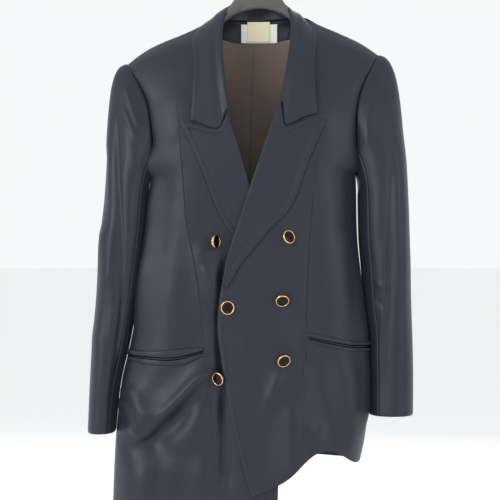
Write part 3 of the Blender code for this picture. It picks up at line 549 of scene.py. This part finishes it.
underFront = {
    "thick": 1.6, "slot": "satin", "first": (-257, 0, -973), "second": (31, -80, -963),
    "facing": (-0.4, -1, 0), "flat": (0.30, 0.90), "area": 0.25, "rests": ["hanger_body"],
    "calm": {"start": 30, "high": 30}, "ripple": (95, 1.3, 3), "stitch": ("end",),
    "swing": (10, 19), "cell": 4.0,
    "dart": [(-134, -346), (-125, -465), (-121, -484), (-105, -574), (-103, -594)],
}
underCreases = [
    ([(-66, -720), (-84, -722), (-109, -739), (-136, -768), (-164, -796), (-188, -817)],
     7, 15, 10.5),
    ([(-190, -817), (-200, -797), (-212, -772), (-223, -752), (-231, -745)], 14, 9, 7),
    ([(-241, -775), (-226, -784), (-217, -806), (-213, -822), (-203, -838), (-188, -832),
      (-160, -803)], 8, 10, 6),
    ([(-74, -728), (-103, -756), (-142, -807), (-186, -846), (-242, -866)], 15, 18, -9),
    ([(-90, -776), (-132, -829), (-162, -868)], 22, 26, 6),
    ([(-72, -745), (-73, -830), (-69, -945)], 9, 7, 3.5),
    ([(-61, -745), (-60, -840), (-56, -950)], 8, 12, -6),
    ([(-142, -866), (-156, -940), (-160, -985)], 18, 22, 4),
    ([(-92, -850), (-96, -930), (-98, -985)], 16, 18, 3.5),
    ([(-98, -543), (-84, -566), (-70, -590)], 7, 10, 3),
    ([(-106, -500), (-99, -545), (-84, -585), (-72, -612)], 10, 14, 2.6),
    ([(-150, -420), (-145, -520), (-152, -640)], 22, 26, 3),
    ([(-190, -520), (-186, -600), (-200, -670)], 14, 18, 2.5),
    ([(-60, -640), (-82, -668), (-90, -705)], 12, 16, 3),
    ([(-54, -515), (-57, -531), (-67, -623), (-70, -664), (-61, -731), (-54, -760)], 7, 6, -7),
]
overFront = {
    "thick": 1.6, "slot": "satin", "first": (177, 0, -887), "second": (-14, -90, -936),
    "facing": (0.4, -1, 0), "flat": (0.29, 0.86), "area": 0.22, "rests": ["hanger_body"],
    "calm": {"start": 30, "high": 30}, "ripple": (105, 1.2, 8), "stitch": ("end",),
    "swing": (10, 12), "cell": 4.0,
    "dart": [(92, -424), (86, -492), (82, -569), (79, -645)],
}
overCreases = [
    ([(38, -716), (27, -747), (15, -773), (6, -806)], 7, 10, 4),
    ([(54, -770), (57, -850), (55, -925)], 16, 18, 4),
    ([(90, -680), (117, -775), (132, -853)], 22, 26, -6),
    ([(66, -640), (70, -700), (92, -760)], 12, 18, 3),
    ([(78, -812), (90, -828), (106, -812)], 6, 8, 3),
    ([(150, -700), (158, -800), (156, -880)], 18, 20, 4),
    ([(-30, -640), (-22, -720), (-6, -800)], 20, 24, 2.5),
    ([(0, -560), (30, -600), (48, -640)], 16, 22, -2.5),
    ([(118, -400), (124, -520), (116, -640)], 22, 26, 3),
    ([(146, -470), (140, -560), (150, -660)], 16, 20, 2.5),
]
backFolds = [
    ([(-150, -430), (-160, -700), (-172, -960)], 30, 34, 4),
    ([(-68, -500), (-74, -720), (-80, -960)], 20, 26, 3),
    ([(62, -480), (58, -700), (54, -900)], 28, 30, 4),
    ([(128, -430), (131, -660), (132, -880)], 22, 26, 3),
    ([(-150, -250), (-110, -330), (-60, -350)], 22, 26, 3),
    ([(130, -240), (90, -320), (40, -340)], 22, 26, 3),
]
leftBack = {
    "thick": 1.6, "slot": "satin", "first": (-257, 0, -973), "second": (-14, 52, -950),
    "facing": (-0.4, 1, 0), "flat": (0.26, 0.90), "area": 0.215, "rests": ["hanger_body"],
    "calm": {"start": 30, "high": 30, "end": 22}, "ripple": (110, 1.4, 5), "cell": 6.0,
}
rightBack = dict(leftBack, first=(177, 0, -887), facing=(0.4, 1, 0), ripple=(110, 1.4, 6),
                 flat=(0.25, 0.86), area=0.195)

solidOf = {}    # the faces that show, for what lies on them
solidOf["underFront"] = addCloth("underFront", "front_under", underFront, navyFront,
                                 underCreases)
solidOf["overFront"] = addCloth("overFront", "front_over", overFront, navyFront, overCreases)
addCloth("leftBack", "back_left", leftBack, navy, backFolds)
addCloth("rightBack", "back_right", rightBack, navy, backFolds)
print("fronts and backs are in place")

# Sleeves

leftSleeve = {
    "thick": 1.6, "slot": "satin", "first": (-260, 22, -833), "second": (-260, -60, -833),
    "facing": (-1, 0, 0), "flat": (0.26, 0.62), "area": 0.145,
    "rests": ["front_under", "back_left"],
    "calm": {"start": 14, "end": 14, "high": 16}, "ripple": (70, 1.0, 11), "cell": 3.6,
}
leftUnder = dict(leftSleeve, facing=(1, 0, 0), flat=(0.13, 0.50), area=0.056)
rightSleeve = dict(leftSleeve, first=(206, 22, -803), second=(206, -60, -803), facing=(1, 0, 0),
                   rests=["front_over", "back_right"], ripple=(70, 1.0, 14), flat=(0.28, 0.60),
                   area=0.155)
rightUnder = dict(rightSleeve, facing=(-1, 0, 0), flat=(0.13, 0.48), area=0.054)
leftSleeveCreases = [
    ([(-245, -238), (-245, -346), (-239, -455), (-235, -535), (-234, -603), (-239, -671),
      (-251, -808)], 4, 6, -5),
    ([(-237, -225), (-225, -260), (-212, -296), (-198, -325)], 4, 6, 3.2),
    ([(-238, -262), (-226, -296), (-214, -322), (-204, -340)], 4, 5, 2.6),
    ([(-262, -250), (-259, -360), (-254, -480), (-252, -620), (-262, -800)], 6, 8, 2.5),
    ([(-270, -470), (-262, -520), (-258, -590)], 10, 14, 3),
    ([(-275, -330), (-266, -400), (-262, -470)], 12, 16, -2.5),
    ([(-284, -640), (-272, -700), (-270, -790)], 12, 16, 2.5),
]
rightSleeveCreases = [
    ([(226, -330), (222, -500), (220, -630), (211, -718), (204, -805)], 5, 6, -5),
    ([(213, -470), (214, -560), (214, -690), (206, -770)], 7, 8, 3.5),
    ([(240, -300), (246, -450), (244, -620)], 14, 18, 3),
    ([(196, -575), (208, -580), (218, -588)], 4, 5, 2),
    ([(196, -604), (207, -609), (217, -618)], 4, 5, -2),
    ([(198, -250), (186, -300), (184, -350)], 8, 10, 3),
]
addCloth("leftTopSleeve", "top_sleeve_left", leftSleeve, navy, leftSleeveCreases)
addCloth("leftUnderSleeve", "under_sleeve_left", leftUnder, navy)
addCloth("rightTopSleeve", "top_sleeve_right", rightSleeve, navy, rightSleeveCreases)
addCloth("rightUnderSleeve", "under_sleeve_right", rightUnder, navy)
print("sleeves are in place")

# Collar and lapels

collar = {
    "thick": 1.6, "slot": "satin", "first": (-54, -86, -279), "second": (-116, -87, -296),
    "facing": (0, -0.5, 1), "flat": (0.63, 0.10), "area": 0.058,
    "rests": ["back_left", "back_right"],
    "calm": {"low": 60, "high": 60, "start": 30}, "ripple": (60, 0.5, 21), "stitch": ("end",),
    "cell": 3.2, "dip": 0.6, "even": 5, "raise": 1.6,
}
addCloth("collarCloth", "collar", collar, navyEdged)
underLapel = {
    "thick": 1.6, "slot": "satin", "first": (-55, -86, -287), "second": (-135, -80, -299),
    "facing": (0, -1, 0), "flat": (0.10, 0.32), "area": 0.021, "rests": ["front_under"],
    "ripple": (60, 0.35, 22),
    "stitch": ("end", "low"), "cell": 3.6, "dip": 0.5,
}
overLapel = dict(underLapel, first=(36, -90, -268), second=(113, -85, -297), ripple=(60, 0.35, 23),
                 rests=["front_over"], flat=(0.10, 0.34), area=0.023)
addCloth("underLapel", "lapel_under", underLapel, navyTwice)
addCloth("overLapel", "lapel_over", overLapel, navyTwice)
print("collar and lapels are in place")

# Pocket jets

jets = {
    "leftUpperJet": ("pocket_left_upper", (-222, -60, -697), (-97, -82, -690), 0.0019),
    "leftLowerJet": ("pocket_left_lower", (-214, -60, -706), (-98, -82, -698), 0.0014),
    "rightUpperJet": ("pocket_right_upper", (70, -85, -663), (184, -60, -683), 0.0014),
    "rightLowerJet": ("pocket_right_lower", (76, -85, -669), (184, -60, -691), 0.0010),
}
for name, (node, first, second, area) in jets.items():
    front = "front_under" if "left" in node else "front_over"
    jet = {"thick": 1.5, "slot": "satin", "first": first, "second": second, "facing": (0, -1, 0),
           "flat": (0.15, 0.014), "area": area, "rests": [front], "cell": 2.0, "dip": 0.35,
           "stitch": ("low",) if "upper" in node else ("high",),
           "swing": (10, 19 if "left" in node else 12)}
    addCloth(name, node, jet, jetSatin)
print("pocket jets are in place")

# Facing, lining and labels

def boxCorners(node, swap=False):
    low, high = (Vector(corner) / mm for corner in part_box(node))
    first = (low.x, (low.y + high.y) / 2, low.z)
    second = (high.x, (low.y + high.y) / 2, low.z)
    return (second, first) if swap else (first, second)


inside = {
    "neckFacing": ("neck_facing", 1.0, navy, "satin", (0.155, 0.055), 0.0058,
                   ["back_left", "back_right"]),
    "leftLining": ("lining_left", 1.0, taupe, "lining", (0.16, 0.79), 0.118, ["back_left"]),
    "rightLining": ("lining_right", 1.0, taupe, "lining", (0.155, 0.75), 0.107, ["back_right"]),
}
for name, (node, thick, finish, slotName, flat, area, rests) in inside.items():
    first, second = boxCorners(node, swap=name == "rightLining")
    lining = {"thick": thick, "slot": slotName, "first": first, "second": second,
              "facing": (0, -1, 0), "flat": flat, "area": area, "rests": rests, "dip": 0.3,
              "cell": 6.0,
              "calm": {"low": 20, "high": 20, "start": 20, "end": 20}}
    addCloth(name, node, lining, finish)


def labelFinish(name, colour, pale):
    material, shader, start = newFinish(name, 0.75, 0.0, {"Sheen Weight": 0.2})
    place = start.make("ShaderNodeTexCoord", out="Object")
    cloth = start.make("ShaderNodeUVMap", {"uv_map": "cloth"})
    threads = noiseOf(start, cloth, 1.0, 2.0, 0.6, (2600, 1300, 1))
    age = noiseOf(start, place, 70.0, 3.0)
    feed((age * 0.8 + threads * 0.2).blend((*colour, 1), (*pale, 1)), shader, "Base Color")
    bump = start.make("ShaderNodeBump", None, {"Height": threads * 0.00006 + age * 0.0003,
                                               "Distance": 1.0})
    feed(bump, shader, "Normal")
    return material


labels = {
    "neckLabel": ("neck_label", labelFinish("whiteLabel", (0.84, 0.83, 0.81), (0.92, 0.91, 0.89)),
                  "label_white", (0.064, 0.036)),
    "sizeLabel": ("size_label", labelFinish("creamLabel", (0.82, 0.72, 0.46), (0.90, 0.83, 0.60)),
                  "label_cream", (0.040, 0.038)),
}
for name, (node, finish, slotName, flat) in labels.items():
    first, second = boxCorners(node)
    label = {"thick": 0.8, "slot": slotName, "first": first, "second": second,
             "facing": (0, -1, 0), "flat": flat, "rests": ["neck_facing"], "dip": 0.2, "cell": 2.0}
    addCloth(name, node, label, finish)
print("facing, lining and labels are in place")

# Buttons: a gold rim with its back, a dark glossy dome and a shank of thread

def gildedFinish(name, bright, dull, low, high):
    material, shader, start = newFinish(name, low, 1.0)
    place = start.make("ShaderNodeTexCoord", out="Object")
    wear = noiseOf(start, place, 260.0, 4.0, 0.6)
    fine = noiseOf(start, place, 2200.0, 2.0)
    feed(wear.blend((*bright, 1), (*dull, 1)), shader, "Base Color")
    feed(low + (high - low) * wear, shader, "Roughness")
    feed(start.make("ShaderNodeBump", None, {"Height": fine * 0.000012 + wear * 0.00004,
                                             "Distance": 1.0}), shader, "Normal")
    return material


def glossFinish(name, colour, roughness, coat):
    material, shader, start = newFinish(name, roughness, 0.0, {
        "Base Color": (*colour, 1), "Coat Weight": coat, "Coat Roughness": 0.05,
        "Specular IOR Level": 0.15})
    place = start.make("ShaderNodeTexCoord", out="Object")
    smears = noiseOf(start, place, 190.0, 3.0)
    feed(roughness + 0.14 * smears, shader, "Roughness")
    feed(start.make("ShaderNodeBump", None, {"Height": smears * 0.00003, "Distance": 1.0}),
         shader, "Normal")
    return material


def threadFinish(name, colour):
    material, shader, start = newFinish(name, 0.6, 0.0, {"Sheen Weight": 0.3})
    place = start.make("ShaderNodeTexCoord", out="Object")
    parts = start.make("ShaderNodeSeparateXYZ", None, {"Vector": place})
    across = start.make("ShaderNodeSeparateXYZ", None, {"Vector": place}, out=2)
    twist = (parts * 1.0 + across * 0.6).wave(0.0009) * 0.5 + 0.5
    feed(twist.blend((*colour, 1), tuple(part * 2.2 for part in colour) + (1,)), shader,
         "Base Color")
    feed(start.make("ShaderNodeBump", None, {"Height": twist * 0.00025, "Distance": 1.0}),
         shader, "Normal")
    return material


button = {
    "sides": 64, "radius": 11.8, "base": (-1.5, 2.4), "domeRadius": 9.3, "domeBase": (0.1, 0.7),
    "lip": ((0.35, 0.55), (0.45, 0.32), (0.55, 0.08), (0.45, -0.25), (0.35, -0.65), (0.12, -0.75)),
    "back": ((0.7, -0.35), (2.4, -0.25), (5.0, -0.05)),
    "dome": ((0.35, 0.45), (1.2, 0.48), (2.0, 0.40), (2.4, 0.22), (1.8, 0.05)),
    "shank": 1.5,
}


def editTop(piece, steps, side):
    # inset the top or bottom face again and again; each step is width, rise
    bpy.ops.object.mode_set(mode="EDIT")
    model = bmesh.from_edit_mesh(piece.data)
    for face in model.faces:
        face.select_set(face.normal.z * side > 0.9)
    bmesh.update_edit_mesh(piece.data)
    for width, rise in steps:
        bpy.ops.mesh.inset(thickness=width * mm)
        bpy.ops.transform.translate(value=(0, 0, rise * mm))
    bpy.ops.object.mode_set(mode="OBJECT")


def addModifier(piece, kind, **settings):
    modifier = piece.modifiers.new(kind.lower(), kind)
    for setting, value in settings.items():
        setattr(modifier, setting, value)
    bpy.context.view_layer.objects.active = piece
    bpy.ops.object.modifier_apply(modifier=modifier.name)


def addDisc(name, radius, base, tops, bottoms=()):
    selectNothing()
    low, depth = base
    bpy.ops.mesh.primitive_cylinder_add(vertices=button["sides"], radius=radius * mm,
                                        depth=depth * mm, location=(0, 0, (low + depth / 2) * mm))
    disc = bpy.context.object
    disc.name = name
    bpy.ops.object.transform_apply(location=True, rotation=True, scale=True)
    editTop(disc, tops, 1)
    if bottoms:
        editTop(disc, bottoms, -1)
    addModifier(disc, "BEVEL", width=0.12 * mm, segments=2, limit_method="ANGLE")
    disc.data.shade_smooth()
    return disc


def copyOf(piece, name, matrix, finish, node=None):
    copy = bpy.data.objects.new(name, piece.data.copy())
    copy.data.transform(matrix)
    copy.data.materials.clear()
    copy.data.materials.append(finish)
    bpy.context.scene.collection.objects.link(copy)
    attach(copy, "root")
    if node:
        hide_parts(node)
    return copy


def placeOf(node):
    # where a button's solid is and which way it faces
    points = np.array([vert.co for vert in frame["nodes"][node].data.vertices])
    middle = points.mean(axis=0)
    axis = np.linalg.svd(points - middle, full_matrices=False)[2][2]
    axis = axis if axis[1] < 0 else -axis
    depth = (points - middle) @ axis
    middle = middle + axis * (depth.max() + depth.min()) / 2
    return Vector(middle), Vector(axis)


def treeOf(grid):
    rows, columns = grid.shape[:2]
    number = np.arange(rows * columns).reshape(rows, columns)
    quads = np.stack([number[:-1, :-1], number[:-1, 1:], number[1:, 1:], number[1:, :-1]],
                     axis=-1).reshape(-1, 4)
    return BVHTree.FromPolygons((grid.reshape(-1, 3) * mm).tolist(), quads.tolist())


gold = gildedFinish("goldRim", (0.86, 0.56, 0.24), (0.66, 0.38, 0.13), 0.16, 0.34)
darkGloss = glossFinish("darkDome", (0.002, 0.002, 0.003), 0.10, 0.12)
navyThread = threadFinish("navyThread", (0.008, 0.011, 0.022))
fronts = {name: treeOf(grid) for name, grid in solidOf.items()}
buttons = {
    "topLeftButton": ("button_top_under", "underFront"),
    "middleLeftButton": ("button_mid_over", "overFront"),
    "lowLeftButton": ("button_low_under", "underFront"),
    "topRightButton": ("button_top_right", "overFront"),
    "middleRightButton": ("button_mid_right", "overFront"),
    "lowRightButton": ("button_low_right", "overFront"),
}
rimModel = addDisc("rimModel", button["radius"], button["base"], button["lip"], button["back"])
domeModel = addDisc("domeModel", button["domeRadius"], button["domeBase"], button["dome"])
for name, (node, front) in buttons.items():
    middle, axis = placeOf(node)
    turn = axis.to_track_quat("Z", "Y").to_matrix().to_4x4()
    matrix = Matrix.Translation(middle) @ turn
    copyOf(rimModel, name + "Rim", matrix, gold, node)
    copyOf(domeModel, name + "Dome", matrix, darkGloss)
    backPoint = middle - axis * 1.9 * mm
    clothPoint = fronts[front].find_nearest(backPoint)[0]
    reach = clothPoint - backPoint
    selectNothing()
    bpy.ops.mesh.primitive_cylinder_add(vertices=20, radius=button["shank"] * mm,
                                        depth=reach.length + 1.2 * mm)
    shank = bpy.context.object
    shank.name = name + "Shank"
    bpy.ops.object.mode_set(mode="EDIT")
    bpy.ops.mesh.select_all(action="SELECT")
    bpy.ops.mesh.bisect(plane_co=(0, 0, 0), plane_no=(0, 0, 1))
    bpy.ops.transform.resize(value=(0.72, 0.72, 1))
    bpy.ops.object.mode_set(mode="OBJECT")
    lean = reach.to_track_quat("Z", "Y").to_matrix().to_4x4()
    shank.data.transform(Matrix.Translation((backPoint + clothPoint) / 2) @ lean)
    shank.data.shade_smooth()
    shank.data.materials.append(navyThread)
    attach(shank, "root")
for model in (rimModel, domeModel):
    bpy.data.objects.remove(model)
print("buttons are in place")

# Buttonhole beside the fastened button: thread round a dark slit

buttonhole = {"from": -50.0, "to": -29.5, "height": -613.2, "half": 1.5, "thread": 0.55}
selectNothing()
holeLength = buttonhole["to"] - buttonhole["from"]
bpy.ops.mesh.primitive_torus_add(major_segments=72, minor_segments=10, major_radius=10 * mm,
                                 minor_radius=1 * mm, rotation=(math.pi / 2, 0, 0))
hole = bpy.context.object
hole.name = "buttonhole"
bpy.ops.object.transform_apply(location=True, rotation=True, scale=True)
holeMiddle = ((buttonhole["from"] + buttonhole["to"]) / 2, buttonhole["height"])
for vert in hole.data.vertices:
    x, y, z = vert.co / mm
    ring = max(math.hypot(x, z), 1e-6)
    aside = (ring - 10) * buttonhole["thread"]
    x = x / ring * (holeLength / 2 + aside)
    z = z / ring * (buttonhole["half"] + aside)
    spot = Vector(((holeMiddle[0] + x) * mm, -0.4, (holeMiddle[1] + z) * mm))
    hit = fronts["overFront"].ray_cast(spot, Vector((0, 1, 0)))[0]
    vert.co = (spot.x, hit.y - 0.15 * mm + y * buttonhole["thread"] * mm, spot.z)
hole.data.shade_smooth()
hole.data.materials.append(navyThread)
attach(hole, "root")
print("buttonhole is in place")

# Hanger and hook

def plasticFinish(name, colour, pale):
    material, shader, start = newFinish(name, 0.4, 0.0)
    place = start.make("ShaderNodeTexCoord", out="Object")
    grain = noiseOf(start, place, 1500.0, 2.0)
    scuffs = noiseOf(start, place, 30.0, 5.0, 0.65, (1, 1, 3.0))
    feed(scuffs.blend((*colour, 1), (*pale, 1)), shader, "Base Color")
    feed(0.30 + 0.22 * scuffs, shader, "Roughness")
    feed(start.make("ShaderNodeBump", None, {"Height": grain * 0.00002 + scuffs * 0.00012,
                                             "Distance": 1.0}), shader, "Normal")
    return material


def smoothCopy(name, node, levels, finish):
    piece = bpy.data.objects.new(name, frame["nodes"][node].data.copy())
    bpy.context.scene.collection.objects.link(piece)
    selectNothing()
    piece.select_set(True)
    bpy.context.view_layer.objects.active = piece
    bpy.ops.object.mode_set(mode="EDIT")
    bpy.ops.mesh.select_all(action="SELECT")
    bpy.ops.mesh.remove_doubles(threshold=cloth["merge"] * mm)
    bpy.ops.mesh.tris_convert_to_quads(face_threshold=math.radians(60),
                                       shape_threshold=math.radians(60))
    bpy.ops.object.mode_set(mode="OBJECT")
    addModifier(piece, "SUBSURF", levels=levels, render_levels=levels)
    piece.data.materials.clear()
    piece.data.materials.append(finish)
    piece.data.shade_smooth()
    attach(piece, "root")
    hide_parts(node)
    return piece


plastic = plasticFinish("hangerPlastic", (0.060, 0.056, 0.053), (0.088, 0.083, 0.078))
steel = gildedFinish("hookSteel", (0.62, 0.62, 0.63), (0.50, 0.50, 0.51), 0.18, 0.34)
smoothCopy("hanger", "hanger_body", 2, plastic)
smoothCopy("hook", "hanger_hook", 2, steel)

raisedArc = {"middle": (-5.5, -8.6, -113.0), "radius": 33.6, "half": 46.8, "thick": 0.9,
             "steps": 28}
selectNothing()
middle = Vector(raisedArc["middle"]) * mm
bpy.ops.mesh.primitive_circle_add(vertices=12, radius=raisedArc["thick"] * mm,
                                  fill_type="NOTHING")
arc = bpy.context.object
arc.name = "hangerRaisedArc"
first = math.radians(-raisedArc["half"])
offset = Vector((math.sin(first), 0, math.cos(first))) * raisedArc["radius"] * mm
arc.data.transform(Matrix.Translation(middle + offset) @ Matrix.Rotation(first, 4, "Y"))
bpy.ops.object.mode_set(mode="EDIT")
bpy.ops.mesh.select_all(action="SELECT")
bpy.ops.mesh.spin(steps=raisedArc["steps"], angle=math.radians(2 * raisedArc["half"]),
                  center=middle, axis=(0, 1, 0))
bpy.ops.object.mode_set(mode="OBJECT")
model = bmesh.new()
model.from_mesh(arc.data)
bmesh.ops.remove_doubles(model, verts=model.verts, dist=0.02 * mm)
bmesh.ops.holes_fill(model, edges=model.edges, sides=16)
bmesh.ops.recalc_face_normals(model, faces=model.faces)
model.to_mesh(arc.data)
model.free()
arc.data.shade_smooth()
arc.data.materials.append(plastic)
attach(arc, "root")
print("hanger and hook are in place")
